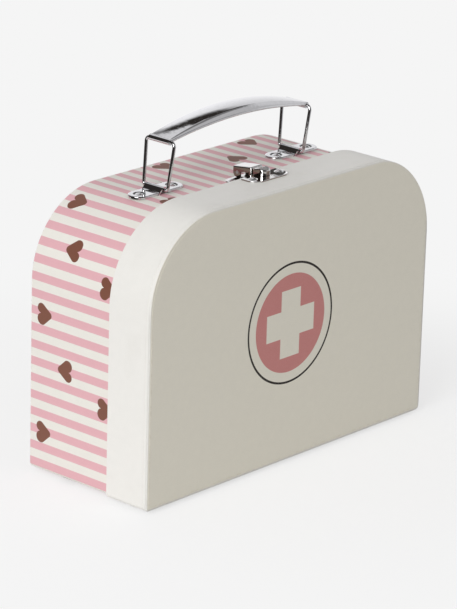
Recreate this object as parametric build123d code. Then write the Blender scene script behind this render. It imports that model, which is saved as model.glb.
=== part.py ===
from build123d import *
from dataclasses import dataclass
from math import asin, cos, sin
import os

# Toy doctor case: a small carrying case of paper-covered greyboard. A shallow lid tray laps over the
# rim of a deeper base tray and swings on two steel hinges along the bottom. A folding handle and a
# snap latch of plated steel are riveted to the top.
#
# Millimetres, +Z up. The lid's front faces -Y. The origin is on the ground, midway between the sides
# and midway between front and back. The case is drawn standing on the barrels of its hinges, shut.

# ---- Driving dimensions -------------------------------------------------------------------------

CASE_DEPTH = 79.4
LID_WIDTH = 200.0
LID_HEIGHT = 138.5
LID_CORNER = 44.0
LID_DEPTH = 25.8
BASE_WIDTH = 195.0
BASE_HEIGHT = 135.0
BASE_CORNER = 41.0
FOOT_CORNER = 2.5

HANDLE_SPAN = 96.6
HANDLE_BEHIND_RIM = 20.9
HANDLE_LEAN = 7.0

BOARD = 1.8
PAPER = 0.2
FRONT_SHEET = 0.3
WIRE_RADIUS = 0.85
RUNNING_GAP = 0.05

# ---- Trays: how board and paper are laid --------------------------------------------------------

OVERLAP = 8.0
TURN_IN = 12.0
LID_TURN_IN = 7.0
BACK_TURN = 10.0
FRONT_MARGIN = 1.6
EDGE_ROUND = 0.6
LEAST_CORNER = 0.3
TRAY_GAP = 0.4
NOTCH_HEIGHT = 3.6
CREASE_WIDTH = 0.5
CREASE_DEEP = 0.1
PAST = 5.0

# ---- Hinges -------------------------------------------------------------------------------------

HINGE_SPACING = 116.0
HINGE_WIDTH = 22.0
HINGE_LEAF = 10.0
HINGE_SHEET = 0.4
HINGE_PIN_RADIUS = 0.5
KNUCKLE_RADIUS = HINGE_PIN_RADIUS + RUNNING_GAP + HINGE_SHEET
KNUCKLE_STANDOFF = 0.1
KNUCKLE_GAP = 0.2
OUTER_KNUCKLE = 6.0
HINGE_HOLE_REACH = 6.2
HINGE_HOLE_SPREAD = 13.0

# ---- Stations along the case --------------------------------------------------------------------

CASE_BOTTOM = 2 * KNUCKLE_RADIUS + KNUCKLE_STANDOFF
BASE_TOP = CASE_BOTTOM + BASE_HEIGHT
LID_TOP = CASE_BOTTOM + LID_HEIGHT
FRONT = -CASE_DEPTH / 2
BACK = CASE_DEPTH / 2
RIM = FRONT + LID_DEPTH
BASE_MOUTH = RIM - OVERLAP
WALL = PAPER + BOARD
LID_BOARD_FACE = FRONT + FRONT_SHEET
LID_BOARD_BACK = LID_BOARD_FACE + BOARD
BACK_BOARD_FACE = BACK - PAPER - BOARD
HINGE_Y = RIM + TRAY_GAP / 2
HINGE_Z = KNUCKLE_RADIUS

# ---- Rivets: head radius, head height, shank radius, tail radius, tail height -------------------

RIVET_SHANK = 1.2
RIVET_HOLE = 1.3
RIVET_TAIL_RADIUS = 1.9
RIVET_TAIL_HEIGHT = 0.5
WASHER_RADIUS = 2.8
WASHER_THICKNESS = 0.6


@dataclass(frozen=True)
class Tray:
    """The front view of a tray: half its width, its height and the radius of its upper corners."""
    half_width: float
    height: float
    corner: float


LID = Tray(LID_WIDTH / 2, LID_HEIGHT, LID_CORNER)
BASE = Tray(BASE_WIDTH / 2, BASE_HEIGHT, BASE_CORNER)


# ---- Shapes that several pieces share -----------------------------------------------------------

def tray_block(tray, inset, front, back):
    """A solid with the tray's front view, taken in by inset all round, from y = front to y = back."""
    width = 2 * (tray.half_width - inset)
    face = Rectangle(width, tray.height - 2 * inset, align=(Align.CENTER, Align.MIN))
    face = fillet(face.vertices().group_by(Axis.Y)[-1], tray.corner - inset)
    face = fillet(face.vertices().group_by(Axis.Y)[0], max(FOOT_CORNER - inset, LEAST_CORNER))
    return Pos(0, back, CASE_BOTTOM + inset) * Rot(X=90) * extrude(face, back - front)


def tray_ring(tray, outer_inset, inner_inset, front, back):
    """A band that follows the tray's outline between two insets."""
    outer = tray_block(tray, outer_inset, front, back)
    return outer - tray_block(tray, inner_inset, front - PAST, back + PAST)


def span(low, high):
    """A box between two corners."""
    size = [b - a for a, b in zip(low, high)]
    return Pos(*low) * Box(*size, align=(Align.MIN, Align.MIN, Align.MIN))


def side_profile(*points):
    """A closed outline of straight runs drawn in the YZ plane, as a face."""
    return Plane.YZ * make_face(Polyline(*points, close=True))


def rivet(head_radius, head_height, grip):
    """A rivet standing on z = 0: a domed head above, and the shank and its spread tail below."""
    dome = (head_radius ** 2 + head_height ** 2) / (2 * head_height)
    half_angle = asin(head_radius / dome) / 2
    crest = (0, head_height)
    shoulder = (dome * sin(half_angle), head_height - dome * (1 - cos(half_angle)))
    tail = -grip - RIVET_TAIL_HEIGHT
    profile = make_face([
        ThreePointArc(crest, shoulder, (head_radius, 0)),
        Polyline(
            (head_radius, 0),
            (RIVET_SHANK, 0),
            (RIVET_SHANK, -grip),
            (RIVET_TAIL_RADIUS, -grip),
            (RIVET_SHANK, tail),
            (0, tail),
            crest,
        ),
    ])
    return revolve(Plane.XZ * profile, Axis.Z)


def drill(piece, spots):
    """The piece with a rivet hole through its wall at each spot, a point on its outer face."""
    for x, y, z in spots:
        piece -= Pos(x, y, z) * Cylinder(RIVET_HOLE, 2 * PAST)
    return piece


def riveted(spots, head_radius, head_height, grip, upside_down=False):
    """One rivet at each spot, as a group of separate solids."""
    turn = Rot(X=180) if upside_down else Rot()
    return Compound(children=[Pos(*spot) * turn * rivet(head_radius, head_height, grip) for spot in spots])


# ---- Where the hardware is riveted --------------------------------------------------------------

HANDLE_Y = RIM + HANDLE_BEHIND_RIM
HANDLE_X = (-HANDLE_SPAN / 2, HANDLE_SPAN / 2)
PLATE_LENGTH = 33.0
PLATE_WIDTH = 11.0
PLATE_SHEET = 0.7
PLATE_HEIGHT = 1.2
PLATE_HOLE = 11.0
HANDLE_SPOTS = [(x + side * PLATE_HOLE, HANDLE_Y, BASE_TOP) for x in HANDLE_X for side in (-1, 1)]

LATCH_SHEET = 0.6
LATCH_SPOTS = [(side * 9.4, RIM + 7.2, BASE_TOP) for side in (-1, 1)]
KEEPER_SPOTS = [(side * 9.2, RIM - 5.6, LID_TOP) for side in (-1, 1)]

HINGE_X = (-HINGE_SPACING / 2, HINGE_SPACING / 2)


def hinge_spots(direction):
    """The rivet places of one tray's two hinge leaves; direction is +1 on the base, -1 on the lid."""
    y = HINGE_Y + direction * HINGE_HOLE_REACH
    offsets = (-HINGE_HOLE_SPREAD / 2, HINGE_HOLE_SPREAD / 2)
    return [(x + offset, y, CASE_BOTTOM) for x in HINGE_X for offset in offsets]


BASE_SPOTS = HANDLE_SPOTS + LATCH_SPOTS + hinge_spots(1)
LID_SPOTS = KEEPER_SPOTS + hinge_spots(-1)


# ---- Base tray ----------------------------------------------------------------------------------

def floor_notch(grown):
    """The base's floor and lowest side walls stop short of the mouth, where the lid's floor lies."""
    top = CASE_BOTTOM + NOTCH_HEIGHT + grown
    return span((-BASE_WIDTH, BASE_MOUTH - PAST, -PAST), (BASE_WIDTH, RIM + TRAY_GAP + grown, top))


def rounded_end(block, sign, radius):
    """The block with its closed end's rim rounded; sign is -1 for the front end, +1 for the back."""
    end = block.faces().sort_by(Axis.Y)[0 if sign < 0 else -1]
    return fillet(end.edges(), radius)


def base_tray():
    """The base's boards, covering papers and linings."""
    outside = rounded_end(tray_block(BASE, 0, BASE_MOUTH, BACK), 1, EDGE_ROUND) - floor_notch(0)
    core = rounded_end(tray_block(BASE, PAPER, BASE_MOUTH + PAPER, BACK - PAPER), 1, EDGE_ROUND - PAPER)
    core -= floor_notch(PAPER)
    room = tray_block(BASE, WALL, BASE_MOUTH - PAST, BACK_BOARD_FACE)
    front_part = span((-BASE_WIDTH, BASE_MOUTH - PAST, -PAST), (BASE_WIDTH, BACK_BOARD_FACE, 2 * BASE_TOP))
    turn_in = tray_ring(BASE, WALL, WALL + PAPER, BASE_MOUTH, BASE_MOUTH + TURN_IN) - floor_notch(0)
    wrap = outside - core - room - tray_block(BASE, BACK_TURN, BACK - PAPER, BACK + PAST) + turn_in
    lining_end = BACK_BOARD_FACE - PAPER
    return {
        "base_wall_board": drill((core & front_part) - room, BASE_SPOTS),
        "base_back_board": core - front_part,
        "base_wrap": drill(wrap, BASE_SPOTS),
        "base_back_sheet": tray_block(BASE, BACK_TURN, BACK - PAPER, BACK),
        "base_wall_lining": drill(
            tray_ring(BASE, WALL, WALL + PAPER, BASE_MOUTH + TURN_IN, lining_end), BASE_SPOTS),
        "base_back_lining": tray_block(BASE, WALL, lining_end, BACK_BOARD_FACE),
    }


# ---- Lid tray -----------------------------------------------------------------------------------

def lid_tray():
    """The lid's boards, covering papers and linings."""
    wrap_face = LID_BOARD_FACE - PAPER
    outside = rounded_end(tray_block(LID, 0, wrap_face, RIM), -1, EDGE_ROUND)
    core = rounded_end(tray_block(LID, PAPER, LID_BOARD_FACE, RIM - PAPER), -1, EDGE_ROUND - PAPER)
    room = tray_block(LID, WALL, LID_BOARD_BACK, RIM + PAST)
    back_part = span((-LID_WIDTH, LID_BOARD_BACK, -PAST), (LID_WIDTH, RIM + PAST, 2 * LID_TOP))
    turn_in = tray_ring(LID, WALL, WALL + PAPER, RIM - LID_TURN_IN, RIM)
    crease = tray_ring(LID, -PAST, CREASE_DEEP, LID_BOARD_BACK - CREASE_WIDTH / 2,
                       LID_BOARD_BACK + CREASE_WIDTH / 2)
    window = tray_block(LID, FRONT_MARGIN, FRONT - PAST, LID_BOARD_FACE)
    wrap = outside - core - room - window - crease + turn_in
    lining_start = LID_BOARD_BACK + PAPER
    return {
        "lid_wall_board": drill((core & back_part) - room, LID_SPOTS),
        "lid_front_board": core - back_part,
        "lid_wrap": drill(wrap, LID_SPOTS),
        "lid_front_sheet": tray_block(LID, FRONT_MARGIN, FRONT, LID_BOARD_FACE),
        "lid_wall_lining": drill(
            tray_ring(LID, WALL, WALL + PAPER, lining_start, RIM - LID_TURN_IN), LID_SPOTS),
        "lid_front_lining": tray_block(LID, WALL, LID_BOARD_BACK, lining_start),
    }


# ---- Hinges -------------------------------------------------------------------------------------

def knuckle(low, high):
    """One knuckle of a hinge barrel along X, bored for the pin."""
    length = high - low
    tube = Cylinder(KNUCKLE_RADIUS, length) - Cylinder(HINGE_PIN_RADIUS + RUNNING_GAP, length)
    return Pos((low + high) / 2, 0, 0) * Rot(Y=90) * tube


def hinge_leaf(direction):
    """A stamped leaf about its barrel's axis: the base's has the outer knuckles, the lid's the inner."""
    half = HINGE_WIDTH / 2
    inner = half - OUTER_KNUCKLE - KNUCKLE_GAP
    own = [(-half, -half + OUTER_KNUCKLE), (half - OUTER_KNUCKLE, half)] if direction > 0 else [(-inner, inner)]
    top = CASE_BOTTOM - HINGE_Z
    clear = KNUCKLE_RADIUS + KNUCKLE_GAP
    sheet = Rectangle(HINGE_WIDTH, HINGE_LEAF - clear, align=(Align.CENTER, Align.MIN))
    sheet = fillet(sheet.vertices().group_by(Axis.Y)[-1], 1.5)
    leaf = Pos(0, clear, top - HINGE_SHEET) * extrude(sheet, HINGE_SHEET)
    for low, high in own:
        leaf += knuckle(low, high)
        leaf += span((low, 0, top - HINGE_SHEET), (high, clear, top)) - Rot(Y=90) * Cylinder(
            KNUCKLE_RADIUS - HINGE_SHEET, 2 * HINGE_WIDTH)
    for offset in (-HINGE_HOLE_SPREAD / 2, HINGE_HOLE_SPREAD / 2):
        leaf -= Pos(offset, HINGE_HOLE_REACH, top) * Cylinder(RIVET_HOLE, PAST)
    return leaf if direction > 0 else mirror(leaf, Plane.XZ)


def hinges():
    """Two butt hinges: a leaf riveted under each tray, and the pin through their knuckles."""
    pieces = {}
    for name, x in zip(("left", "right"), HINGE_X):
        place = Pos(x, HINGE_Y, HINGE_Z)
        pieces[f"hinge_leaf_base_{name}"] = place * hinge_leaf(1)
        pieces[f"hinge_leaf_lid_{name}"] = place * hinge_leaf(-1)
        pieces[f"hinge_pin_{name}"] = place * Rot(Y=90) * Cylinder(HINGE_PIN_RADIUS, HINGE_WIDTH)
    head = {"head_radius": 1.9, "head_height": 0.4, "grip": HINGE_SHEET + WALL + PAPER, "upside_down": True}
    for name, direction in (("base", 1), ("lid", -1)):
        spots = [(x, y, z - HINGE_SHEET) for x, y, z in hinge_spots(direction)]
        pieces[f"hinge_rivets_{name}"] = riveted(spots, **head)
    return pieces


# ---- Handle -------------------------------------------------------------------------------------

PLATE_ROUND = 0.6
DISH_RADIUS = 2.6
DISH_FLARE = 0.6
PIVOT_HEIGHT = 1.95
BRIDGE_BORE = WIRE_RADIUS + 0.08
BRIDGE_HALF = 5.7
BRIDGE_FOOT = 4.2
BAIL_HEIGHT = 23.15
BAIL_FOOT = 7.7
BAIL_HEAD = 9.1
BAIL_FOOT_BEND = 1.5
BAIL_HEAD_BEND = 2.2
BAIL_BUTT = 0.3
GRIP_SHEET = 0.7
GRIP_BORE = WIRE_RADIUS + RUNNING_GAP
CURL_RADIUS = GRIP_BORE + GRIP_SHEET
CURL_HALF = 6.5
GRIP_RISE = 7.1
GRIP_END_DEPTH = 2.0
GRIP_MIDDLE_DEPTH = 4.2
GRIP_MIDDLE_HALF = 7.4
GRIP_END_DOME = 0.15
GRIP_MIDDLE_DOME = 1.0
GRIP_END_SHOULDER = 0.5
GRIP_MIDDLE_SHOULDER = 2.2
HEM_HEIGHT = 1.15
HEM_BULGE = 0.35
GRIP_STATIONS = 9


def handle_plate():
    """A shallow stamped pan, dished round its two rivets, with a bridge across it that the bail's foot turns under."""
    plan = SlotOverall(PLATE_LENGTH, PLATE_WIDTH)
    pan = extrude(plan, PLATE_HEIGHT)
    pan = fillet(pan.faces().sort_by(Axis.Z)[-1].edges(), PLATE_ROUND)
    drawn = PLATE_HEIGHT - PLATE_SHEET
    pan -= extrude(offset(plan, -PLATE_SHEET), drawn)
    flare = DISH_RADIUS + DISH_FLARE
    for side in (-1, 1):
        spot = Pos(side * PLATE_HOLE, 0, 0)
        pan += spot * Cylinder(flare, drawn, align=(Align.CENTER, Align.CENTER, Align.MIN))
        pan -= spot * Pos(0, 0, PLATE_SHEET) * Cone(DISH_RADIUS, flare, drawn, align=(Align.CENTER, Align.CENTER, Align.MIN))
        pan -= spot * Cylinder(RIVET_HOLE, PAST)

    def arch(radius, foot):
        crest = (Pos(0, PIVOT_HEIGHT) * Circle(radius)).edges()
        return Plane.XZ * make_hull([*crest, Line((-foot, 0), (foot, 0))])

    bridge = extrude(arch(BRIDGE_BORE + PLATE_SHEET, BRIDGE_FOOT), BRIDGE_HALF, both=True)
    tunnel = extrude(arch(BRIDGE_BORE, BRIDGE_FOOT - 1.5 * PLATE_SHEET), PLATE_WIDTH, both=True)
    return pan + bridge - tunnel


def bail():
    """A wire loop that widens upwards; its ends butt under the plate's bridge."""
    path = FilletPolyline(
        (0, BAIL_BUTT / 2, 0),
        (0, BAIL_FOOT, 0),
        (0, BAIL_HEAD, BAIL_HEIGHT),
        (0, -BAIL_HEAD, BAIL_HEIGHT),
        (0, -BAIL_FOOT, 0),
        (0, -BAIL_BUTT / 2, 0),
        radius=[BAIL_FOOT_BEND, BAIL_HEAD_BEND, BAIL_HEAD_BEND, BAIL_FOOT_BEND],
    )
    section = Plane(origin=path @ 0, z_dir=path % 0) * Circle(WIRE_RADIUS)
    return sweep(section, path=path)


def grip_swell(x, end, middle):
    """A measure of the grip at x, which grows from its value at the ends to its value in the middle."""
    return middle + (end - middle) * (x / (HANDLE_SPAN / 2)) ** 2


def grip_measures(x):
    """At x along the grip: the crown's height above the upper pivots, the depth and half the width."""
    depth = grip_swell(x, GRIP_END_DEPTH, GRIP_MIDDLE_DEPTH)
    half = grip_swell(x, CURL_HALF, GRIP_MIDDLE_HALF)
    return grip_swell(x, CURL_RADIUS, CURL_RADIUS + GRIP_RISE), depth, half


def grip_face(x, profile, top, radius):
    """A face across the grip at x, its two upper corners rounded; profile runs from right to left below."""
    half, shoulder = profile[0]
    section = make_face([ThreePointArc((-half, shoulder), (0, top), (half, shoulder)), *profile[1]])
    corners = section.vertices().filter_by(lambda vertex: abs(vertex.Y - shoulder) < 0.01)
    return Plane((x, 0, 0), x_dir=(0, 1, 0), z_dir=(1, 0, 0)) * fillet(corners, radius)


def grip_outside(x):
    """The grip's section at x: a domed crown, rounded shoulders, and lips that end in a rolled hem."""
    crown, depth, half = grip_measures(x)
    shoulder, floor = crown - grip_swell(x, GRIP_END_DOME, GRIP_MIDDLE_DOME), crown - depth
    hem = floor + HEM_HEIGHT
    middle, edge = (floor + hem) / 2, half + HEM_BULGE
    lower = [
        Line((half, shoulder), (half, hem)),
        ThreePointArc((half, hem), (edge, middle), (half, floor)),
        Line((half, floor), (-half, floor)),
        ThreePointArc((-half, floor), (-edge, middle), (-half, hem)),
        Line((-half, hem), (-half, shoulder)),
    ]
    return grip_face(x, ((half, shoulder), lower), crown, grip_swell(x, GRIP_END_SHOULDER, GRIP_MIDDLE_SHOULDER))


def grip_hollow(x):
    """What is taken out of the grip's section at x, open below."""
    crown, depth, half = grip_measures(x)
    half, top, floor = half - GRIP_SHEET, crown - GRIP_SHEET, crown - depth - PAST
    shoulder = top - grip_swell(x, GRIP_END_DOME, GRIP_MIDDLE_DOME)
    lower = [Polyline((half, shoulder), (half, floor), (-half, floor), (-half, shoulder))]
    bend = grip_swell(x, GRIP_END_SHOULDER, GRIP_MIDDLE_SHOULDER - GRIP_SHEET)
    return grip_face(x, ((half, shoulder), lower), top, bend)


def stations(reach):
    """Evenly spaced places along the grip, from -reach to reach."""
    return [reach * (2 * step / (GRIP_STATIONS - 1) - 1) for step in range(GRIP_STATIONS)]


def grip():
    """A stamped shell, arched lengthways, whose ends curl round the heads of the two bails."""
    end = HANDLE_SPAN / 2
    shell = loft([grip_outside(x) for x in stations(end)])
    shell -= loft([grip_hollow(x) for x in stations(end - 2 * CURL_RADIUS)])
    for side in (-1, 1):
        shell += Pos(side * end, 0, 0) * Rot(X=90) * Cylinder(CURL_RADIUS, 2 * CURL_HALF)
    for side in (-1, 1):
        shell -= Pos(side * end, 0, 0) * Rot(X=90) * Cylinder(GRIP_BORE, 4 * CURL_HALF)
    return shell


def handle():
    """Two plates, two bails and the grip: a parallelogram that folds flat to either side."""
    pieces = {}
    lean = Rot(Y=HANDLE_LEAN)
    for name, x in zip(("left", "right"), HANDLE_X):
        pieces[f"handle_plate_{name}"] = Pos(x, HANDLE_Y, BASE_TOP) * handle_plate()
        pieces[f"bail_{name}"] = Pos(x, HANDLE_Y, BASE_TOP + PIVOT_HEIGHT) * lean * bail()
    head_pivot = lean * Pos(0, 0, BAIL_HEIGHT)
    pieces["handle_grip"] = Pos(0, HANDLE_Y, BASE_TOP + PIVOT_HEIGHT) * Pos(head_pivot.position) * grip()
    spots = [(x, y, z + PLATE_SHEET) for x, y, z in HANDLE_SPOTS]
    through = PLATE_SHEET + WALL + PAPER + WASHER_THICKNESS
    pieces["handle_rivets"] = riveted(spots, head_radius=2.4, head_height=0.9, grip=through)
    washer = Cylinder(WASHER_RADIUS, WASHER_THICKNESS, align=(Align.CENTER, Align.CENTER, Align.MAX))
    washer -= Cylinder(RIVET_HOLE, PAST)
    under = BASE_TOP - WALL - PAPER
    room = tray_block(BASE, WALL + PAPER, BASE_MOUTH, BACK_BOARD_FACE)
    bedded = [room & (Pos(x, y, under) * washer) for x, y, _ in HANDLE_SPOTS]
    pieces["handle_washers"] = Compound(children=[solid for shape in bedded for solid in shape.solids()])
    return pieces


# ---- Latch --------------------------------------------------------------------------------------
# Places along the latch are given as distances behind the lid's rim, and heights above the base's top.

LID_STEP = LID_HEIGHT - BASE_HEIGHT
LATCH_PIN_RADIUS = 0.8
LATCH_PIN_BEHIND = 9.1
LATCH_PIN_HEIGHT = 3.2
LEVER_HALF = 4.2
LEVER_BACK = 11.6
LEVER_NOSE = -7.0
LEVER_STEP = 0.7
LEVER_REAR_HEIGHT = 6.0
LEVER_MIDDLE_HEIGHT = 7.5
LEVER_CLEAR = 0.2
NOSE_HALF = 3.2
NOSE_CORNER = 2.8
NOSE_ROOT = 1.6
NOSE_ROOT_HEIGHT = 6.9
NOSE_DIP = -0.9
NOSE_CREST = -3.6
NOSE_CREST_HEIGHT = 7.7
NOSE_FRONT_HEIGHT = 6.9
WINDOW_CORNERS = ((7.0, 1.5), (7.0, 3.9), (1.4, 4.8), (1.4, 2.4))
HEEL_RADIUS = 2.5
EAR_OUTER = LEVER_HALF - LATCH_SHEET - 0.1
LATCH_PLATE_HALF = 12.8
LATCH_PLATE_START = 3.2
LATCH_PLATE_DEPTH = 7.8
KEEPER_HALF = 13.2
KEEPER_DEPTH = 10.4
KEEPER_START = 0.7
HOOK_HALF = 2.2
HOOK_FRONT = -4.6
HOOK_HEIGHT = 5.3


def latch_sheet(half, depth, far_radius):
    """A flat plate from the rim outwards to +Y, with its far corners rounded."""
    sheet = Rectangle(2 * half, depth, align=(Align.CENTER, Align.MIN))
    sheet = fillet(sheet.vertices().group_by(Axis.Y)[-1], far_radius)
    sheet = fillet(sheet.vertices().group_by(Axis.Y)[0], 1.5)
    plate = extrude(sheet, LATCH_SHEET)
    return fillet(plate.faces().sort_by(Axis.Z)[-1].edges(), 0.25)


def latch_plate():
    """The plate on the base, with two ears bent up to carry the lever's pin."""
    plate = Pos(0, LATCH_PLATE_START, 0) * latch_sheet(LATCH_PLATE_HALF, LATCH_PLATE_DEPTH, 3.8)
    ear = Pos(LATCH_PIN_BEHIND, LATCH_PIN_HEIGHT) * Circle(1.5)
    ear += Pos(LATCH_PIN_BEHIND, 0) * Rectangle(2.0, LATCH_PIN_HEIGHT, align=(Align.CENTER, Align.MIN))
    ear -= Pos(LATCH_PIN_BEHIND, LATCH_PIN_HEIGHT) * Circle(LATCH_PIN_RADIUS)
    for side in (-1, 1):
        middle = side * (EAR_OUTER - LATCH_SHEET / 2)
        plate += Pos(middle, 0, 0) * extrude(Plane.YZ * ear, LATCH_SHEET / 2, both=True)
    for x, y, _ in LATCH_SPOTS:
        plate -= Pos(x, y - RIM, 0) * Cylinder(RIVET_HOLE, PAST)
    return plate


def keeper_plate():
    """The plate on the lid, with a hook that stands up inside the closed lever."""
    plate = Pos(0, -KEEPER_START, LID_STEP) * mirror(latch_sheet(KEEPER_HALF, KEEPER_DEPTH, 5.6), Plane.XZ)
    foot = LID_STEP
    hook = side_profile(
        (HOOK_FRONT + 0.4, HOOK_HEIGHT - 1.2),
        (HOOK_FRONT, HOOK_HEIGHT - 0.8),
        (HOOK_FRONT + 0.2, HOOK_HEIGHT),
        (HOOK_FRONT + 1.1, HOOK_HEIGHT),
        (HOOK_FRONT + 2.6, foot),
        (HOOK_FRONT + 1.4, foot),
    )
    plate += extrude(hook, HOOK_HALF, both=True)
    for x, y, _ in KEEPER_SPOTS:
        plate -= Pos(x, y - RIM, LID_STEP) * Cylinder(RIVET_HOLE, PAST)
    return plate


def lever_part(half, back, front, ceiling, floor, corner, crown):
    """One box of the lever between two distances from the rim; ceiling lists its top from back to front."""
    plan = Rectangle(2 * half, back - front, align=(Align.CENTER, Align.MIN))
    plan = Pos(0, front) * fillet(plan.vertices().group_by(Axis.Y)[0], corner)
    side = side_profile(*ceiling, (front, floor), (back, floor))
    block = extrude(plan, 4 * PAST) & extrude(side, half, both=True)
    top = min(height for _, height in ceiling)
    edges = block.edges().filter_by(lambda edge: edge.center().Z > top - 0.1)
    edges = edges.filter_by(lambda edge: abs(edge.center().X) > half / 2 or edge.center().Y < front + 0.1)
    return fillet(edges, crown)


def lever_block(inset):
    """The lever's outer form, or its hollow when inset: a broad rear part and a slim, raised nose."""
    low = LATCH_SHEET + LEVER_CLEAR - PAST * (inset > 0)
    crown = 0.8 - inset
    back = LEVER_BACK - inset
    rear = ((back, LEVER_REAR_HEIGHT - inset), (inset, LEVER_MIDDLE_HEIGHT - inset))
    block = lever_part(LEVER_HALF - inset, back, inset, rear, low, crown + 0.1, crown)
    block -= span((-PAST, -PAST, -PAST), (PAST, LEVER_STEP - inset, low + LID_STEP))
    nose = (
        (NOSE_ROOT, NOSE_ROOT_HEIGHT - inset),
        (NOSE_DIP, NOSE_ROOT_HEIGHT - inset),
        (NOSE_CREST, NOSE_CREST_HEIGHT - inset),
        (LEVER_NOSE + inset, NOSE_FRONT_HEIGHT - inset),
    )
    front = LEVER_NOSE + inset
    return block + lever_part(NOSE_HALF - inset, NOSE_ROOT, front, nose, low + LID_STEP, NOSE_CORNER - inset, crown)


def latch_lever():
    """A stamped lever, open below, that swings up on its pin; its nose closes over the keeper's hook."""
    lever = lever_block(0) - lever_block(LATCH_SHEET)
    pin_y, pin_z = LATCH_PIN_BEHIND, LATCH_PIN_HEIGHT
    heel = span((-PAST, pin_y, -PAST), (PAST, LEVER_BACK + PAST, pin_z))
    heel -= Pos(0, pin_y, pin_z) * Rot(Y=90) * Cylinder(HEEL_RADIUS, 4 * PAST)
    inner = LEVER_HALF - LATCH_SHEET
    tail_gap = span((-inner, pin_y + 1.0, -PAST), (inner, LEVER_BACK + PAST, pin_z + 0.8))
    lever -= heel + tail_gap
    lever -= Pos(0, pin_y, pin_z) * Rot(Y=90) * Cylinder(LATCH_PIN_RADIUS + RUNNING_GAP, 4 * PAST)
    window = side_profile(*WINDOW_CORNERS)
    return lever - extrude(window, 2 * PAST, both=True)


def latch_spring():
    """A strip of spring steel under the lever's top; its bent end snaps in front of the hook."""
    thick = 0.25
    under = LATCH_SHEET + 0.06
    tip = HOOK_FRONT - 0.3
    rear_y = 6.5
    slope = (LEVER_MIDDLE_HEIGHT - LEVER_REAR_HEIGHT) / LEVER_BACK
    rear_top = LEVER_MIDDLE_HEIGHT - slope * rear_y - under
    flat_top = NOSE_ROOT_HEIGHT - under
    strip = side_profile(
        (rear_y, rear_top),
        (NOSE_ROOT, flat_top),
        (tip, flat_top),
        (tip - thick, flat_top - 0.1),
        (tip - thick, HOOK_HEIGHT - 0.9),
        (tip, HOOK_HEIGHT - 0.9),
        (tip, flat_top - thick),
        (NOSE_ROOT, flat_top - thick),
        (rear_y, rear_top - thick),
    )
    return extrude(strip, 1.8, both=True)


def latch():
    """Base plate with its pin, lever with its spring, keeper with its hook, and their rivets."""
    place = Pos(0, RIM, BASE_TOP)
    pin = Pos(0, LATCH_PIN_BEHIND, LATCH_PIN_HEIGHT) * Rot(Y=90) * Cylinder(LATCH_PIN_RADIUS, 2 * LEVER_HALF)
    grip_length = LATCH_SHEET + WALL + PAPER
    heads = {"head_radius": 2.4, "head_height": 0.8, "grip": grip_length}
    return {
        "latch_plate": place * latch_plate(),
        "latch_pin": place * pin,
        "latch_lever": place * latch_lever(),
        "latch_spring": place * latch_spring(),
        "keeper_plate": place * keeper_plate(),
        "latch_plate_rivets": riveted([(x, y, z + LATCH_SHEET) for x, y, z in LATCH_SPOTS], **heads),
        "keeper_rivets": riveted([(x, y, z + LATCH_SHEET) for x, y, z in KEEPER_SPOTS], **heads),
    }


# ---- Write every piece --------------------------------------------------------------------------

os.makedirs("parts", exist_ok=True)
for make in (base_tray, lid_tray, hinges, handle, latch):
    for node, piece in make().items():
        export_step(piece, f"parts/{node}.step")
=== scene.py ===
"""A child's doctor case: a papered cardboard case with a folding handle and a snap latch.

The case is 200 mm wide, 138.5 mm high and 79.4 mm deep. It stands on the floor, lid to the front.
X runs along the width, +Y points to the back and Z is up.
"""

from math import pi, radians

import bpy
import numpy as np
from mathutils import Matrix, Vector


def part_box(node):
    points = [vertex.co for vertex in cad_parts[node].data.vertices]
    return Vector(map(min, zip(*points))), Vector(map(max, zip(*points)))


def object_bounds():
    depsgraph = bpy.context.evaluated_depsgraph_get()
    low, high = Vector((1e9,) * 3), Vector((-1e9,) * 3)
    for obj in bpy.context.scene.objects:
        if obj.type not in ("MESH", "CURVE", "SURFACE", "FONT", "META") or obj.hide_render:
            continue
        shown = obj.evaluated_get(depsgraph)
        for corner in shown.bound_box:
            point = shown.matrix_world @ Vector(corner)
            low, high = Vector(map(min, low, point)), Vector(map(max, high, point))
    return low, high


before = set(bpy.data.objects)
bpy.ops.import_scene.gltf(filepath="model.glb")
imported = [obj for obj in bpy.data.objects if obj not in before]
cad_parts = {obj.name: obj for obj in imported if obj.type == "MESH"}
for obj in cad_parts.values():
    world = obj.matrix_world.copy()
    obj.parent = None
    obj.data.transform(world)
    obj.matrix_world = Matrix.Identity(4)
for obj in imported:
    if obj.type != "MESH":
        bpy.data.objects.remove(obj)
cad_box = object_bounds()


# Base tray, outside: the deep rear half of the case. A strip of printed paper is glued round
# its cardboard wall and turned over its edges, and a plain sheet closes the back.
# The print is pink stripes on off-white, with small brown hearts that point to and fro.

MM = 1000.0


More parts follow.
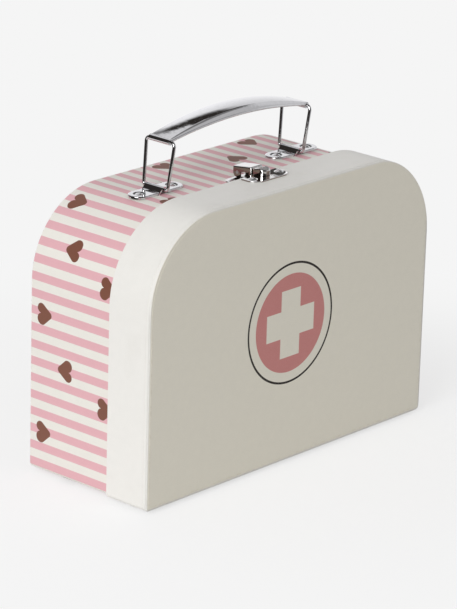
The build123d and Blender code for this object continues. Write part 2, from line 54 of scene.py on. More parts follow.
class Flow:
    """A number that runs through a material. + - * / on it add the Math node that works it out."""

    def __init__(self, tree, plug):
        self.tree, self.plug = tree, plug

    def work(self, operation, *others):
        """The result of a Math node of this operation on the number and the others."""
        node = self.tree.nodes.new("ShaderNodeMath")
        node.operation = operation
        for socket, value in zip(node.inputs, (self, *others)):
            put(value, socket)
        return Flow(self.tree, node.outputs[0])

    def __add__(self, other):
        return self.work("ADD", other)

    def __sub__(self, other):
        return self.work("SUBTRACT", other)

    def __mul__(self, other):
        return self.work("MULTIPLY", other)

    def __truediv__(self, other):
        return self.work("DIVIDE", other)

    def __neg__(self):
        return self * -1.0

    def __abs__(self):
        return self.work("ABSOLUTE")

    def least(self, other):
        return self.work("MINIMUM", other)

    def most(self, other):
        return self.work("MAXIMUM", other)

    def above(self, level):
        return self.work("GREATER_THAN", level)

    def held(self, low, high):
        return self.most(low).least(high)

    def wrapped(self, period):
        """How far past the nearest multiple of the period it is: v - period * round(v / period)."""
        return self - (self / period).work("ROUND") * period

    def fade(self, start, end):
        """0 at start and 1 at end, with a smooth step between them."""
        node = self.tree.nodes.new("ShaderNodeMapRange")
        node.interpolation_type = "SMOOTHSTEP"
        self.tree.links.new(self.plug, node.inputs["Value"])
        node.inputs["From Min"].default_value = start
        node.inputs["From Max"].default_value = end
        return Flow(self.tree, node.outputs["Result"])


def put(value, socket):
    """Plugs a Flow into a socket, or sets the socket to a plain value."""
    if isinstance(value, Flow):
        value.tree.links.new(value.plug, socket)
    else:
        socket.default_value = value


def length(a, b):
    """sqrt(a^2 + b^2)"""
    return (a * a + b * b).work("SQRT")


def scaled(tree, vector, size):
    """A place or a colour times the size: (v1, v2, v3) * size."""
    node = tree.nodes.new("ShaderNodeVectorMath")
    node.operation = "SCALE"
    put(vector, node.inputs[0])
    put(size, node.inputs["Scale"])
    return Flow(tree, node.outputs[0])


def parts_of(tree, plug):
    """The x, y and z of a vector."""
    node = tree.nodes.new("ShaderNodeSeparateXYZ")
    tree.links.new(plug, node.inputs[0])
    return [Flow(tree, part) for part in node.outputs]


def place_in_mm(tree):
    """The point of the surface in millimetres, as a vector and as its x, y and z."""
    point = tree.nodes.new("ShaderNodeTexCoord").outputs["Object"]
    place = scaled(tree, Flow(tree, point), MM)
    return place, parts_of(tree, place.plug)


def cloudy(tree, place, grain, detail=2.0, stretch=(1, 1, 1)):
    """Noise round 0.5, of about 0.2 to 0.8, in patches `grain` mm across.

    The patches are longer along x, y and z by `stretch`.
    """
    squeeze = tree.nodes.new("ShaderNodeMapping")
    noise = tree.nodes.new("ShaderNodeTexNoise")
    squeeze.inputs["Scale"].default_value = [1 / s for s in stretch]
    noise.inputs["Scale"].default_value = 1 / grain
    noise.inputs["Detail"].default_value = detail
    tree.links.new(place.plug, squeeze.inputs["Vector"])
    tree.links.new(squeeze.outputs[0], noise.inputs["Vector"])
    return Flow(tree, noise.outputs["Fac"])


def shared_effect(name, takes, gives):
    """A node group: its tree, what goes in as Flows by name, and its output sockets by name."""
    tree = bpy.data.node_groups.new(name, "ShaderNodeTree")
    for way, sockets in (("INPUT", takes), ("OUTPUT", gives)):
        for socket, kind in sockets.items():
            tree.interface.new_socket(name=socket, in_out=way, socket_type="NodeSocket" + kind)
    enter, leave = tree.nodes.new("NodeGroupInput"), tree.nodes.new("NodeGroupOutput")
    return tree, {s: Flow(tree, enter.outputs[s]) for s in takes}, leave.inputs


def use(tree, effect, **values):
    """Places a shared effect in a material with its own values. Gives what comes out, by name."""
    node = tree.nodes.new("ShaderNodeGroup")
    node.node_tree = effect
    for name, value in values.items():
        put(value, node.inputs[name])
    return {plug.name: Flow(tree, plug) for plug in node.outputs}


def ink(red, green, blue):
    """A screen colour out of 255 as a linear colour: ((c + 0.055) / 1.055)^2.4."""
    return (*(((c / 255 + 0.055) / 1.055) ** 2.4 for c in (red, green, blue)), 1.0)


def tinted(tree, cover, below, above):
    """The colour below where cover is 0 and the colour above where it is 1."""
    mix = tree.nodes.new("ShaderNodeMix")
    mix.data_type = "RGBA"
    put(cover, mix.inputs["Factor"])
    put(below, mix.inputs["A"])
    put(above, mix.inputs["B"])
    return Flow(tree, mix.outputs["Result"])


def finish_of(name, metallic=0.0):
    """A new material: itself, its tree, its Principled BSDF and the place on the surface."""
    material = bpy.data.materials.new(name)
    material.use_nodes = True
    surface = material.node_tree.nodes["Principled BSDF"]
    surface.inputs["Metallic"].default_value = metallic
    return material, material.node_tree, surface, *place_in_mm(material.node_tree)


def raised(tree, surface, height, depth=1.0):
    """Lets the surface stand out by height * depth, in mm."""
    bump = tree.nodes.new("ShaderNodeBump")
    bump.inputs["Distance"].default_value = depth / MM
    put(height, bump.inputs["Height"])
    tree.links.new(bump.outputs["Normal"], surface.inputs["Normal"])


def dress(material, *names):
    """Gives these CAD nodes the material as their only one."""
    for name in names:
        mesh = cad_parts[name].data
        mesh.materials.clear()
        mesh.materials.append(material)


FIBRE, FIBRE_STRETCH, FIBRE_TONE = 0.35, (2.2, 1, 1), 0.05
MOTTLE, MOTTLE_TONE = 4.0, 0.04
RIPPLE = 34.0

paper_fibre, given, out = shared_effect(
    "paper_fibre", {"Place": "Vector"}, {"Tone": "Float", "Height": "Float", "Ripple": "Float"}
)
fibres = cloudy(paper_fibre, given["Place"], FIBRE, detail=3, stretch=FIBRE_STRETCH)
mottle = cloudy(paper_fibre, given["Place"], MOTTLE)
ripple = cloudy(paper_fibre, given["Place"], RIPPLE, detail=0)
put((fibres - 0.5) * FIBRE_TONE + (mottle - 0.5) * MOTTLE_TONE + 1.0, out["Tone"])
put(fibres, out["Height"])
put(ripple, out["Ripple"])

RUB_PATCH, RUBBED = 2.6, (0.42, 0.66)

edge_rub, given, out = shared_effect(
    "edge_rub", {"Place": "Vector", "Inward": "Float", "Reach": "Float"}, {"Worn": "Float"}
)
patches = cloudy(edge_rub, given["Place"], RUB_PATCH, detail=4)
near = (given["Inward"] / given["Reach"]).fade(1.0, 0.0)
put((near * patches.fade(*RUBBED)).held(0.0, 1.0), out["Worn"])


def lay_paper(tree, surface, paper, colour, dull, fibre_dull, grain, fold=None):
    """Gives the surface this colour, dullness and paper grain, all of which vary with the fibres.

    roughness = dull + fibre_dull * (fibres - 0.5), and grain = (f, r, depth in mm) gives
    height = (f * fibres + r * ripples) * depth + fold.
    """
    fibre_height, ripple_height, depth = grain
    put(scaled(tree, colour, paper["Tone"]), surface.inputs["Base Color"])
    put((paper["Height"] - 0.5) * fibre_dull + dull, surface.inputs["Roughness"])
    height = paper["Height"] * fibre_height + paper["Ripple"] * ripple_height
    if fold is None:
        raised(tree, surface, height, depth)
    else:
        raised(tree, surface, height * depth + fold)


low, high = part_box("base_wrap")
BASE_HALF = high.x * MM
BASE_BOTTOM, BASE_TOP = low.z * MM, high.z * MM
BASE_FRONT, BASE_BACK = low.y * MM, high.y * MM
CORNER = 41.0
STRAIGHT = BASE_TOP - BASE_BOTTOM - CORNER
FLAT_HALF = BASE_HALF - CORNER
QUARTER = CORNER * pi / 2
STRETCH = 0.965
TURN_UNDER = 12.0

# The distance along the strip from the middle of the top, where it is drawn a little tight.
wall_strip, given, out = shared_effect(
    "wall_strip", {"X": "Float", "Z": "Float"}, {"Along": "Float"}
)
x, up = given["X"], given["Z"] - BASE_BOTTOM
across, side = abs(x), x.work("SIGN")
corner_turn = (up - STRAIGHT).most(0.0).work("ARCTAN2", (across - FLAT_HALF).most(0.0))
climb = up.least(STRAIGHT) + corner_turn * CORNER
to_edge = -across + BASE_HALF
beneath = to_edge.least(TURN_UNDER).above(up)
climb = climb * (-beneath + 1.0) - to_edge * beneath
top_part = (across + (-up.above(STRAIGHT) + 1.0) * BASE_HALF).least(FLAT_HALF)
put(side * (-climb + (STRAIGHT + QUARTER) + top_part * STRETCH), out["Along"])

INK_EDGE = 0.09
TIP, TIP_RADIUS = (2.7, 0.1), 1.9
# Each lobe of a heart: its middle and its radius. The first is fuller.
LOBES = (((-1.7, -2.5), 2.95), ((-2.1, 2.8), 2.5))

# A heart is two brush strokes that start at its tip and widen to its lobes.
brush_heart, given, out = shared_effect(
    "brush_heart", {"Forward": "Float", "Sideways": "Float"}, {"Inked": "Float"}
)


def stroke(forward, sideways, lobe, radius):
    """Distance to a stroke: |p - tip - t run| - (r0 + t (r1 - r0)), with run = lobe - tip.

    t = (p - tip) . run / run^2, held between 0 and 1.
    """
    run = [float(part) for part in np.subtract(lobe, TIP)]
    ahead, aside = forward - TIP[0], sideways - TIP[1]
    share = ((ahead * run[0] + aside * run[1]) / float(np.dot(run, run))).held(0.0, 1.0)
    off_line = length(ahead - share * run[0], aside - share * run[1])
    return off_line - share * (radius - TIP_RADIUS) - TIP_RADIUS


strokes = [stroke(given["Forward"], given["Sideways"], *lobe) for lobe in LOBES]
put(strokes[0].least(strokes[1]).fade(INK_EDGE, -INK_EDGE), out["Inked"])

PAPER_WHITE, PINK, BROWN = ink(241, 238, 230), ink(233, 181, 188), ink(128, 79, 61)
STRIP_START, FIRST_STRIPE = -STRAIGHT - QUARTER - FLAT_HALF * STRETCH, 3.8
STRIPE_REPEAT, STRIPE_WIDTH = 8.48, 4.15
STRIPES_TO_A_HEART = 7
HEART_REPEAT = STRIPES_TO_A_HEART * STRIPE_REPEAT
WOBBLE_PATCH, WOBBLE = 1.2, 0.1
# Each row of hearts: its distance from the front of the case, where along the strip its first
# heart is, and +1 where the tips point to the back or -1 to the front.
HEART_ROWS = ((57.6, 54.7, 1), (31.2, 42.1, -1), (71.4, 19.9, -1))
CASE_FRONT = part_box("lid_front_sheet")[0].y * MM
# The strip is glued on a little askew, so the rows move to the back along it.
DRIFT, DRIFT_FROM, DRIFT_LIMITS = 0.035, -35.0, (-1.1, 0.9)
# The middle and radius of the spot behind the left handle plate that has no heart.
COVERED = (-43.5, 17.9, 8.0)
PRINT_WEAR, PRINT_FADING, PRINT_WORN = 0.9, 0.5, ink(240, 236, 230)
PRINT_DULL, PRINT_SCUFF = 0.5, 0.15
SHEET_FIBRE_DULL, SHEET_GRAIN = 0.12, (0.1, 1.6, 0.06)

printed_paper, tree, surface, place, (x, y, z) = finish_of("printed_paper")
along = use(tree, wall_strip, X=x, Z=z)["Along"]
paper = use(tree, paper_fibre, Place=place)
wobble = (cloudy(tree, place, WOBBLE_PATCH) - 0.5) * WOBBLE
stripes = abs((along - (STRIP_START + FIRST_STRIPE) + wobble).wrapped(STRIPE_REPEAT)).fade(
    STRIPE_WIDTH / 2 + INK_EDGE, STRIPE_WIDTH / 2 - INK_EDGE
)
colour = tinted(tree, stripes, PAPER_WHITE, PINK)
drift = ((along - DRIFT_FROM) * DRIFT).held(*DRIFT_LIMITS)
bare = length(x - COVERED[0], y - COVERED[1]).above(COVERED[2])
for from_front, start, facing in HEART_ROWS:
    forward = (y - drift - (CASE_FRONT + from_front)) * facing
    sideways = (along - (STRIP_START + start)).wrapped(HEART_REPEAT) * -facing
    heart = use(tree, brush_heart, Forward=forward, Sideways=sideways)["Inked"]
    colour = tinted(tree, heart * bare, colour, BROWN)
to_fold = (-y + BASE_BACK).least(y - BASE_FRONT)
worn = use(tree, edge_rub, Place=place, Inward=to_fold, Reach=PRINT_WEAR)["Worn"]
colour = tinted(tree, worn * PRINT_FADING, colour, PRINT_WORN)
dull = worn * PRINT_SCUFF + PRINT_DULL
lay_paper(tree, surface, paper, colour, dull, SHEET_FIBRE_DULL, SHEET_GRAIN)
dress(printed_paper, "base_wrap")

BACK_WEAR, BACK_FADING, BACK_WORN = 1.6, 0.4, ink(222, 216, 206)
BACK_DULL = 0.52

back_paper, tree, surface, place, (x, y, z) = finish_of("back_paper")
paper = use(tree, paper_fibre, Place=place)
low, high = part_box("base_back_sheet")
to_edge = (-abs(x) + high.x * MM).least(z - low.z * MM)
worn = use(tree, edge_rub, Place=place, Inward=to_edge, Reach=BACK_WEAR)["Worn"]
colour = tinted(tree, worn * BACK_FADING, PAPER_WHITE, BACK_WORN)
lay_paper(tree, surface, paper, colour, BACK_DULL, SHEET_FIBRE_DULL, SHEET_GRAIN)
dress(back_paper, "base_back_sheet")


# Cardboard: the stiff grey board that both trays are made of, cut and bent, with long fibres and
# flecks of old paper in it. It shows only where a rivet goes through and at bare edges.

PULP, PULP_TONES, PULP_DARK, PULP_PALE = 0.25, (0.3, 0.7), ink(150, 141, 128), ink(178, 168, 154)
SCRAP, SCRAP_STRETCH, SCRAP_EDGE = 0.7, (3, 3, 1), (0.6, 0.72)
SCRAP_SHARE, SCRAP_COLOUR = 0.5, ink(108, 98, 88)
PLY, PLY_STRETCH, PLY_TONE = 0.4, (30, 30, 1), 0.15
BOARD_DULL, PULP_DULL = 0.92, 0.1
PULP_HEIGHT, PLY_HEIGHT, BOARD_DEPTH = 0.7, 0.3, 0.09

greyboard, tree, surface, place, (x, y, z) = finish_of("greyboard")
scraps = cloudy(tree, place, SCRAP, detail=5, stretch=SCRAP_STRETCH).fade(*SCRAP_EDGE)
pulp = cloudy(tree, place, PULP, detail=6)
plies = cloudy(tree, place, PLY, stretch=PLY_STRETCH)
colour = tinted(tree, pulp.fade(*PULP_TONES), PULP_DARK, PULP_PALE)
colour = tinted(tree, scraps * SCRAP_SHARE, colour, SCRAP_COLOUR)
put(scaled(tree, colour, (plies - 0.5) * PLY_TONE + 1.0), surface.inputs["Base Color"])
put((pulp - 0.5) * PULP_DULL + BOARD_DULL, surface.inputs["Roughness"])
raised(tree, surface, pulp * PULP_HEIGHT + plies * PLY_HEIGHT, BOARD_DEPTH)
dress(greyboard, "base_wall_board", "base_back_board", "lid_wall_board", "lid_front_board")


# Linings: thinner uncoated paper, glued inside both trays over the turned-in edges of the wraps.
# It is matt, a little coarser than the wraps, and has a few darker flecks in it.

LINING_CREAM, LINING_FLECK = ink(236, 232, 222), ink(208, 200, 186)
FLECK, FLECK_STRETCH, FLECK_EDGE, FLECK_SHARE = 1.1, (1, 1, 2.5), (0.66, 0.78), 0.3
LINING_DULL, LINING_FIBRE_DULL, LINING_GRAIN = 0.8, 0.1, (0.2, 1.2, 0.08)

lining_paper, tree, surface, place, (x, y, z) = finish_of("lining_paper")
paper = use(tree, paper_fibre, Place=place)
flecks = cloudy(tree, place, FLECK, detail=6, stretch=FLECK_STRETCH).fade(*FLECK_EDGE)
colour = tinted(tree, flecks * FLECK_SHARE, LINING_CREAM, LINING_FLECK)
lay_paper(tree, surface, paper, colour, LINING_DULL, LINING_FIBRE_DULL, LINING_GRAIN)
dress(lining_paper, "base_wall_lining", "base_back_lining", "lid_wall_lining", "lid_front_lining")


# Lid, outside: the shallow front half, which closes over the mouth of the base. Its wall is
# wrapped in cream paper with a satin film, turned over the front edge and in at the rim.

LID_CREAM, FRONT_CREAM = ink(243, 241, 236), ink(238, 233, 219)
low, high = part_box("lid_wrap")
LID_FRONT, LID_RIM = low.y * MM, high.y * MM
LID_BOTTOM, LID_TOP, LID_HALF = low.z * MM, high.z * MM, high.x * MM
LID_WEAR, LID_FADING, LID_WORN = 0.8, 0.12, ink(214, 206, 192)
SMUDGE, SMUDGE_EDGE = 19.0, (0.52, 0.75)
SMUDGE_SHARE, SMUDGE_COLOUR, SMUDGE_DULL = 0.1, ink(214, 210, 200), 0.06
FOLD_RADIUS, FOLD_HIGHLIGHT, FOLD_HIGHLIGHT_TONE = 1.5, (0.7, 0.2), 0.1
TURNED_WALL, TURNED_FROM = (0.3, 0.1), 0.3
LID_DULL, SATIN_FIBRE_DULL, SATIN_GRAIN = 0.42, 0.1, (0.08, 1.8, 0.06)

cream_paper, tree, surface, place, (x, y, z) = finish_of("cream_paper")
paper = use(tree, paper_fibre, Place=place)
to_fold = (y - LID_FRONT).least(-y + LID_RIM)
worn = use(tree, edge_rub, Place=place, Inward=to_fold, Reach=LID_WEAR)["Worn"]
smudge = cloudy(tree, place, SMUDGE, detail=4).fade(*SMUDGE_EDGE)
colour = tinted(tree, worn * LID_FADING, LID_CREAM, LID_WORN)
colour = tinted(tree, smudge * SMUDGE_SHARE, colour, SMUDGE_COLOUR)
# The fold round the front edge is soft. On the wall and on the front, at a distance d of less
# than r from the edge, the surface is (r - d)^2 / 2r lower.
over_x = (abs(x) - (LID_HALF - CORNER)).most(0.0)
over_z = (z - (LID_TOP - CORNER)).most(0.0)
inward = (-length(over_x, over_z) + CORNER).least(z - LID_BOTTOM)
from_fold = inward.most(y - LID_FRONT)
to_round = (-from_fold + FOLD_RADIUS).most(0.0)
fold = to_round * to_round / (-2.0 * FOLD_RADIUS)
# The edge that is turned onto the front is as cream as the front sheet, and a painted highlight
# makes the fold paler.
turned = (y - LID_FRONT).fade(*TURNED_WALL) * from_fold.fade(TURNED_FROM, FOLD_RADIUS)
colour = tinted(tree, turned, colour, FRONT_CREAM)
# Painted highlight: the paper's tone is raised right along the fold.
paper["Tone"] += from_fold.fade(*FOLD_HIGHLIGHT) * FOLD_HIGHLIGHT_TONE
dull = smudge * SMUDGE_DULL + LID_DULL
lay_paper(tree, surface, paper, colour, dull, SATIN_FIBRE_DULL, SATIN_GRAIN, fold)
dress(cream_paper, "lid_wrap")


# Front sheet: a cream sheet glued over the lid's turned edges, a little smaller than the front.
# A round first-aid badge is printed on it: a cream cross on a pink disc, inside a thin dark ring.

BADGE_X, BADGE_Z = -1.85, 72.3
RING_RADIUS, RING_WIDTH = 29.95, 1.1
DISC_RADIUS = 24.75
CROSS_HALF, ARM_HALF = 17.0, 6.85
DISC_PINK, RING_INK = ink(207, 136, 133), ink(24, 12, 10)
# How far the disc's ink and the ring's cover the paper, and how uneven each is.
INK_PATCH, DISC_COVER, DISC_SPREAD, RING_COVER, RING_SPREAD = 0.5, 0.97, 0.12, 0.98, 0.06
FRONT_WEAR, FRONT_FADING, FRONT_WORN = 1.4, 0.4, ink(216, 208, 190)
FRONT_GLOSS, FRONT_DULL, INK_DULL = 0.15, 0.48, -0.05

front_paper, tree, surface, place, (x, y, z) = finish_of("front_paper")
surface.inputs["Specular IOR Level"].default_value = FRONT_GLOSS
paper = use(tree, paper_fibre, Place=place)
right, up = x - BADGE_X, z - BADGE_Z
out_from_middle = length(right, up)
reach, climb = abs(right), abs(up)
bars = [
    (long - CROSS_HALF).most(short - ARM_HALF) for long, short in ((reach, climb), (climb, reach))
]
cross = bars[0].least(bars[1]).fade(INK_EDGE, -INK_EDGE)
disc = out_from_middle.fade(DISC_RADIUS + INK_EDGE, DISC_RADIUS - INK_EDGE) * (-cross + 1.0)
ring = abs(out_from_middle - RING_RADIUS).fade(
    RING_WIDTH / 2 + INK_EDGE, RING_WIDTH / 2 - INK_EDGE
)
low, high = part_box("lid_front_sheet")
to_edge = (-abs(x) + high.x * MM).least(z - low.z * MM)
worn = use(tree, edge_rub, Place=place, Inward=to_edge, Reach=FRONT_WEAR)["Worn"]
ink_coat = cloudy(tree, place, INK_PATCH, detail=3) - 0.5
colour = tinted(tree, disc * (ink_coat * DISC_SPREAD + DISC_COVER), FRONT_CREAM, DISC_PINK)
colour = tinted(tree, ring * (ink_coat * RING_SPREAD + RING_COVER), colour, RING_INK)
colour = tinted(tree, worn * FRONT_FADING, colour, FRONT_WORN)
dull = (disc + ring) * INK_DULL + FRONT_DULL
lay_paper(tree, surface, paper, colour, dull, SATIN_FIBRE_DULL, SATIN_GRAIN)
dress(front_paper, "lid_front_sheet")


# Hinges: two small butt hinges of thin plated strip, riveted on under the case. Their knuckles
# are rolled round plain steel pins, and the case stands on them.

DENT, DENT_HEIGHT = 3.2, 0.9
SCRATCH, SCRATCH_STRETCH, SCRATCH_DULL, SCRATCH_HEIGHT = 0.12, (14, 1, 14), 0.05, 0.02
FINGER_MARK, FINGER_MARK_EDGE, FINGER_MARK_DULL = 2.4, (0.45, 0.7), 0.05

sheet_metal, given, out = shared_effect(
    "sheet_metal",
    {"Place": "Vector", "Dull": "Float"},
    {"Roughness": "Float", "Height": "Float", "Tone": "Float"},
)
dents = cloudy(sheet_metal, given["Place"], DENT, detail=1)
scratches = cloudy(sheet_metal, given["Place"], SCRATCH, stretch=SCRATCH_STRETCH)
marks = cloudy(sheet_metal, given["Place"], FINGER_MARK, detail=3).fade(*FINGER_MARK_EDGE)
marks = marks * FINGER_MARK_DULL
put(given["Dull"] + marks + (scratches - 0.5) * SCRATCH_DULL, out["Roughness"])
put(dents * DENT_HEIGHT + scratches * SCRATCH_HEIGHT, out["Height"])
put(-marks + 1.0, out["Tone"])


def metal_finish(name, colour, nodes, dull, waves, pressed=None):
    """A metal for the nodes, of this colour and dullness. The press left it `waves` mm uneven.

    pressed, if given, tells for x and y how many mm higher the sheet is pressed there:
    height = waves * (dents and scratches) + pressed(x, y).
    """
    material, tree, surface, place, (x, y, z) = finish_of(name, metallic=1.0)
    metal = use(tree, sheet_metal, Place=place, Dull=dull)
    put(scaled(tree, colour[:3], metal["Tone"]), surface.inputs["Base Color"])
    put(metal["Roughness"], surface.inputs["Roughness"])
    height = metal["Height"] * waves
    raised(tree, surface, height + pressed(x, y) if pressed else height)
    dress(material, *nodes)
    return tree, surface


SIDES = ("left", "right")
LEAVES = [f"hinge_leaf_{tray}_{side}" for tray in ("base", "lid") for side in SIDES]
PINS = [f"hinge_pin_{side}" for side in SIDES] + ["latch_pin", "handle_washers"]
RIVETS = [
    "hinge_rivets_base",
    "hinge_rivets_lid",
    "handle_rivets",
    "latch_plate_rivets",
    "keeper_rivets",
]

metal_finish("hinge_plating", ink(214, 214, 214), LEAVES, dull=0.22, waves=0.02)
metal_finish("plain_steel", ink(190, 190, 192), PINS, dull=0.28, waves=0.006)
metal_finish("plated_rivets", ink(224, 224, 225), RIVETS, dull=0.1, waves=0.012)


# Handle: a grip pressed from bright sheet whose ends are curled round two wire bails. Each bail
# turns in the raised bridge of a riveted plate, so the handle can fold down to either side.
# On the plates, a ring of painted shade darkens the colour round each rivet's head.

BRIGHT = ink(228, 228, 230)
BAILS = [f"bail_{side}" for side in SIDES]
RIVET_REACH, RIVET_SHADE_STARTS, RIVET_SHADE_ENDS, RIVET_SHADE_TONE = 11.0, (2.2, 2.5), (3.2, 2.9), 0.8

metal_finish("bright_plating", BRIGHT, ["handle_grip"], dull=0.05, waves=0.03)
for side in SIDES:
    low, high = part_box(f"handle_plate_{side}")
    middle_x, middle_y = (low.x + high.x) / 2 * MM, (low.y + high.y) / 2 * MM
    tree, surface = metal_finish(
        f"{side}_plate_plating", BRIGHT, [f"handle_plate_{side}"], dull=0.05, waves=0.04
    )
    _, (x, y, z) = place_in_mm(tree)
    from_rivet = length(abs(x - middle_x) - RIVET_REACH, y - middle_y)
    # Painted shade: the plate's colour is darkened in a ring round each rivet's head.
    rivet_shade = from_rivet.fade(*RIVET_SHADE_STARTS) * from_rivet.fade(*RIVET_SHADE_ENDS) * RIVET_SHADE_TONE
    unshaded_colour = Flow(tree, surface.inputs["Base Color"].links[0].from_socket)
    put(scaled(tree, unshaded_colour, -rivet_shade + 1.0), surface.inputs["Base Color"])
metal_finish("bright_wire", ink(222, 222, 224), BAILS, dull=0.08, waves=0.004)


# Latch: a sprung lever on a riveted plate, which snaps down over a keeper plate on the lid. All
# three are bent from thin sheet. A painted dark reflection tints the faces that stand up brown.
# The keeper's right lobe is pressed down towards the front, inside a level lip.

LATCH_SHEET = ink(228, 227, 226)
CHEEK, CHEEK_REFLECTION_TINT = (0.93, 0.985), (0.4, 0.32, 0.28)


def paint_cheek_reflection(tree, surface):
    """Paints a dark brown reflection into the colour of the flat upright faces. Tops and rounded
    corners keep the plating's colour.
    """
    facing = tree.nodes.new("ShaderNodeTexCoord").outputs["Normal"]
    sideways, forward = (abs(part) for part in parts_of(tree, facing)[:2])
    bright = surface.inputs["Base Color"].links[0].from_socket
    # Painted reflection: the colour of the upright faces is multiplied by a dark brown tint.
    dark = tree.nodes.new("ShaderNodeVectorMath")
    dark.operation = "MULTIPLY"
    dark.inputs[1].default_value = CHEEK_REFLECTION_TINT
    tree.links.new(bright, dark.inputs[0])
    flat = sideways.most(forward).fade(*CHEEK)
    reflection_tinted = tinted(tree, flat, Flow(tree, bright), Flow(tree, dark.outputs[0]))
    put(reflection_tinted, surface.inputs["Base Color"])


low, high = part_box("keeper_plate")
KEEPER_END, KEEPER_FRONT = high.x * MM, low.y * MM
KEEPER_CORNER, KEEPER_LIP, KEEPER_LOBE = 5.6, (0.4, 1.3), (1.0, 4.0)
KEEPER_FALL, KEEPER_MIDDLE = 0.32, 4.6


def keeper_dish(x, y):
    """The height of the right lobe: fall * (y - middle), faded in from the lip and the lobe's left.

    The lip follows the plate's outline, whose corners are round.
    """
    over_x = (abs(x) - (KEEPER_END - KEEPER_CORNER)).most(0.0)
    over_y = (-y + (KEEPER_FRONT + KEEPER_CORNER)).most(0.0)
    inside = -length(over_x, over_y) + KEEPER_CORNER
    slope = (y - (KEEPER_FRONT + KEEPER_MIDDLE)) * KEEPER_FALL
    return slope * inside.fade(*KEEPER_LIP) * x.fade(*KEEPER_LOBE)


LATCH_PLATING = (
    ("latch_plating", "latch_lever", 0.05, None),
    ("latch_plate_plating", "latch_plate", 0.06, None),
    ("keeper_plating", "keeper_plate", 0.06, keeper_dish),
)
for name, node, dull, pressed in LATCH_PLATING:
    paint_cheek_reflection(*metal_finish(name, LATCH_SHEET, [node], dull, waves=0.04, pressed=pressed))
metal_finish("spring_steel", ink(120, 122, 128), ["latch_spring"], dull=0.25, waves=0.01)


# Surroundings: a pale floor in a pale room, with a big soft lamp to the left. The plating
# mirrors a room of its own: black on the left and grey on the right, with a bright low sweep
# at the back right and a pale wall and a dark beam above that.

BACKGROUND = 0.9131
TABLE_RADIUS, TABLE_CORNERS = 0.4, 96
SHADOW_SHARE, SHADOW_NEAR, SHADOW_FAR = 0.4, 0.1, 0.3
OPEN_LIGHT = 0.76
TABLE_BOUNCE = 0.8


def even_grey(level):
    """The colour (level, level, level, 1)."""
    return (level, level, level, 1.0)


def straight_rays(tree):
    """1 for what is seen directly, in a mirror or through glass, and 0 for scattered light.

    With it comes 1 for what is seen in a mirror alone.
    """
    paths = tree.nodes.new("ShaderNodeLightPath")
    seen, mirrored, through = (
        Flow(tree, paths.outputs[f"Is {way} Ray"]) for way in ("Camera", "Glossy", "Transmission")
    )
    return (seen + mirrored + through).held(0.0, 1.0), mirrored


def join(tree, kind, first, second, share=None):
    """Adds two shaders, or mixes them by the share."""
    node = tree.nodes.new(kind)
    if share is not None:
        put(share, node.inputs["Fac"])
    for plug, socket in zip((first, second), list(node.inputs)[-2:]):
        tree.links.new(plug, socket)
    return node.outputs[0]


turns = np.linspace(0, 2 * pi, TABLE_CORNERS, endpoint=False)
rim = np.stack([TABLE_RADIUS * np.cos(turns), TABLE_RADIUS * np.sin(turns), 0 * turns], axis=1)
mesh = bpy.data.meshes.new("table")
mesh.from_pydata(rim.tolist(), [], [list(range(len(rim)))])
table = bpy.data.objects.new("table", mesh)
bpy.context.scene.collection.objects.link(table)

pale_table = bpy.data.materials.new("pale_table")
pale_table.use_nodes = True
tree = pale_table.node_tree
tree.nodes.remove(tree.nodes["Principled BSDF"])
place, (x, y, z) = place_in_mm(tree)
shadowed = (length(x, y) / MM).fade(SHADOW_FAR, SHADOW_NEAR) * SHADOW_SHARE
matt, glow, bounce = (
    tree.nodes.new("ShaderNode" + kind) for kind in ("BsdfDiffuse", "Emission", "BsdfDiffuse")
)
put(scaled(tree, even_grey(BACKGROUND)[:3], shadowed), matt.inputs["Color"])
glow.inputs["Color"].default_value = even_grey(BACKGROUND)
put(shadowed * -OPEN_LIGHT + 1.0, glow.inputs["Strength"])
bounce.inputs["Color"].default_value = even_grey(TABLE_BOUNCE)
seen = join(tree, "ShaderNodeAddShader", matt.outputs[0], glow.outputs[0])
mixed = join(tree, "ShaderNodeMixShader", bounce.outputs[0], seen, straight_rays(tree)[0])
tree.links.new(mixed, tree.nodes["Material Output"].inputs["Surface"])
mesh.materials.append(pale_table)

ROOM_LIGHT = 0.45
# What the plating mirrors: which way each part of the room is, and where it begins and ends.
ROOM_BLACK, ROOM_WHITE = (0.03, 0.026, 0.024, 1), (1.25, 1.25, 1.27, 1)
GREY_HALF, GREY_EDGE, GREY_TONE = (1.0, 0.1, 0.0), (-0.15, 0.25), 0.14
LOW_GREY, LOW_GREY_TOP, LOW_GREY_TONE = (0.1, 0.4), (0.75, 0.6), 0.4
WINDOW_EDGE = (0.69, 0.79)
SWEEP, SWEEP_EDGE, SWEEP_TOP = (0.71, 0.71, 0.0), (0.7, 0.92), (0.51, 0.46)
SWEEP_TONES, SWEEP_SIDE = (0.54, 0.92), (0.45, 0.85)
HIGH_WALL, HIGH_EDGE, HIGH_TONE = (0.314, 0.673, 0.669), (0.83, 0.96), 0.6
BEAM_UNDER, BEAM_UNDER_EDGE = (0.375, 0.388, 0.842), (0.87, 0.915)
BEAM_OVER, BEAM_OVER_EDGE = (-0.207, 0.336, 0.919), (0.68, 0.664)
BEAM_BACK, BEAM_RIGHT = (0.05, 0.3), (0.42, 0.5)

room = bpy.data.worlds.new("pale_room")
bpy.context.scene.world = room
room.use_nodes = True
tree = room.node_tree
direction = tree.nodes.new("ShaderNodeTexCoord").outputs["Generated"]
right, back, up = parts_of(tree, direction)


def towards(way):
    """How squarely a direction points this way: the sum of the products of their parts."""
    x, y, z = (part * share for part, share in zip((right, back, up), way))
    return x + y + z


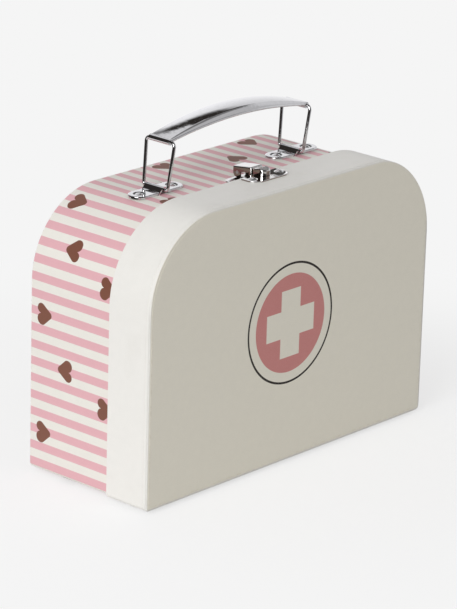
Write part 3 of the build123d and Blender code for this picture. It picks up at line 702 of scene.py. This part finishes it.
straight, mirrored = straight_rays(tree)
sweep = (towards(SWEEP).fade(*SWEEP_EDGE) * up.fade(*SWEEP_TOP)).most(right.fade(*WINDOW_EDGE))
sweep_tone = back.fade(*SWEEP_SIDE) * (SWEEP_TONES[1] - SWEEP_TONES[0]) + SWEEP_TONES[0]
high_wall = towards(HIGH_WALL).fade(*HIGH_EDGE)
beam = towards(BEAM_UNDER).fade(*BEAM_UNDER_EDGE) * towards(BEAM_OVER).fade(*BEAM_OVER_EDGE)
beam = beam * back.fade(*BEAM_BACK) * right.fade(*BEAM_RIGHT)
low_grey = right.fade(*LOW_GREY) * up.fade(*LOW_GREY_TOP) * LOW_GREY_TONE
tone = (towards(GREY_HALF).fade(*GREY_EDGE) * GREY_TONE).most(low_grey)
tone = tone.most(high_wall * HIGH_TONE).most(sweep * sweep_tone) * (-beam + 1.0)
plain = tinted(tree, straight, even_grey(ROOM_LIGHT), even_grey(BACKGROUND))
mirror = tinted(tree, tone, ROOM_BLACK, ROOM_WHITE)
put(tinted(tree, mirrored, plain, mirror), tree.nodes["Background"].inputs["Color"])

LAMP_FROM = (-0.86, -0.22, 0.46)
LAMP_AWAY, LAMP_SIZE, LAMP_POWER = 2.4, 1.3, 31.0

lamp = bpy.data.objects.new("soft_lamp", bpy.data.lights.new("soft_lamp", "AREA"))
lamp.data.energy, lamp.data.size = LAMP_POWER, LAMP_SIZE
case_middle = (cad_box[0] + cad_box[1]) / 2
lamp.location = case_middle + type(case_middle)(LAMP_FROM) * LAMP_AWAY
lamp.rotation_euler = (case_middle - lamp.location).to_track_quat("-Z", "Y").to_euler()
bpy.context.scene.collection.objects.link(lamp)

CAMERA_PLACE, CAMERA_LENS = (-1.178853, -1.051508, 0.609478), 203.06
CAMERA_TURN = (71.17347, -1.59069, -47.67237)

camera = bpy.data.objects.new("camera", bpy.data.cameras.new("camera"))
camera.location = CAMERA_PLACE
camera.rotation_euler = [radians(angle) for angle in CAMERA_TURN]
camera.data.lens = CAMERA_LENS
bpy.context.scene.collection.objects.link(camera)
bpy.context.scene.camera = camera
bpy.context.scene.view_settings.view_transform = "Standard"
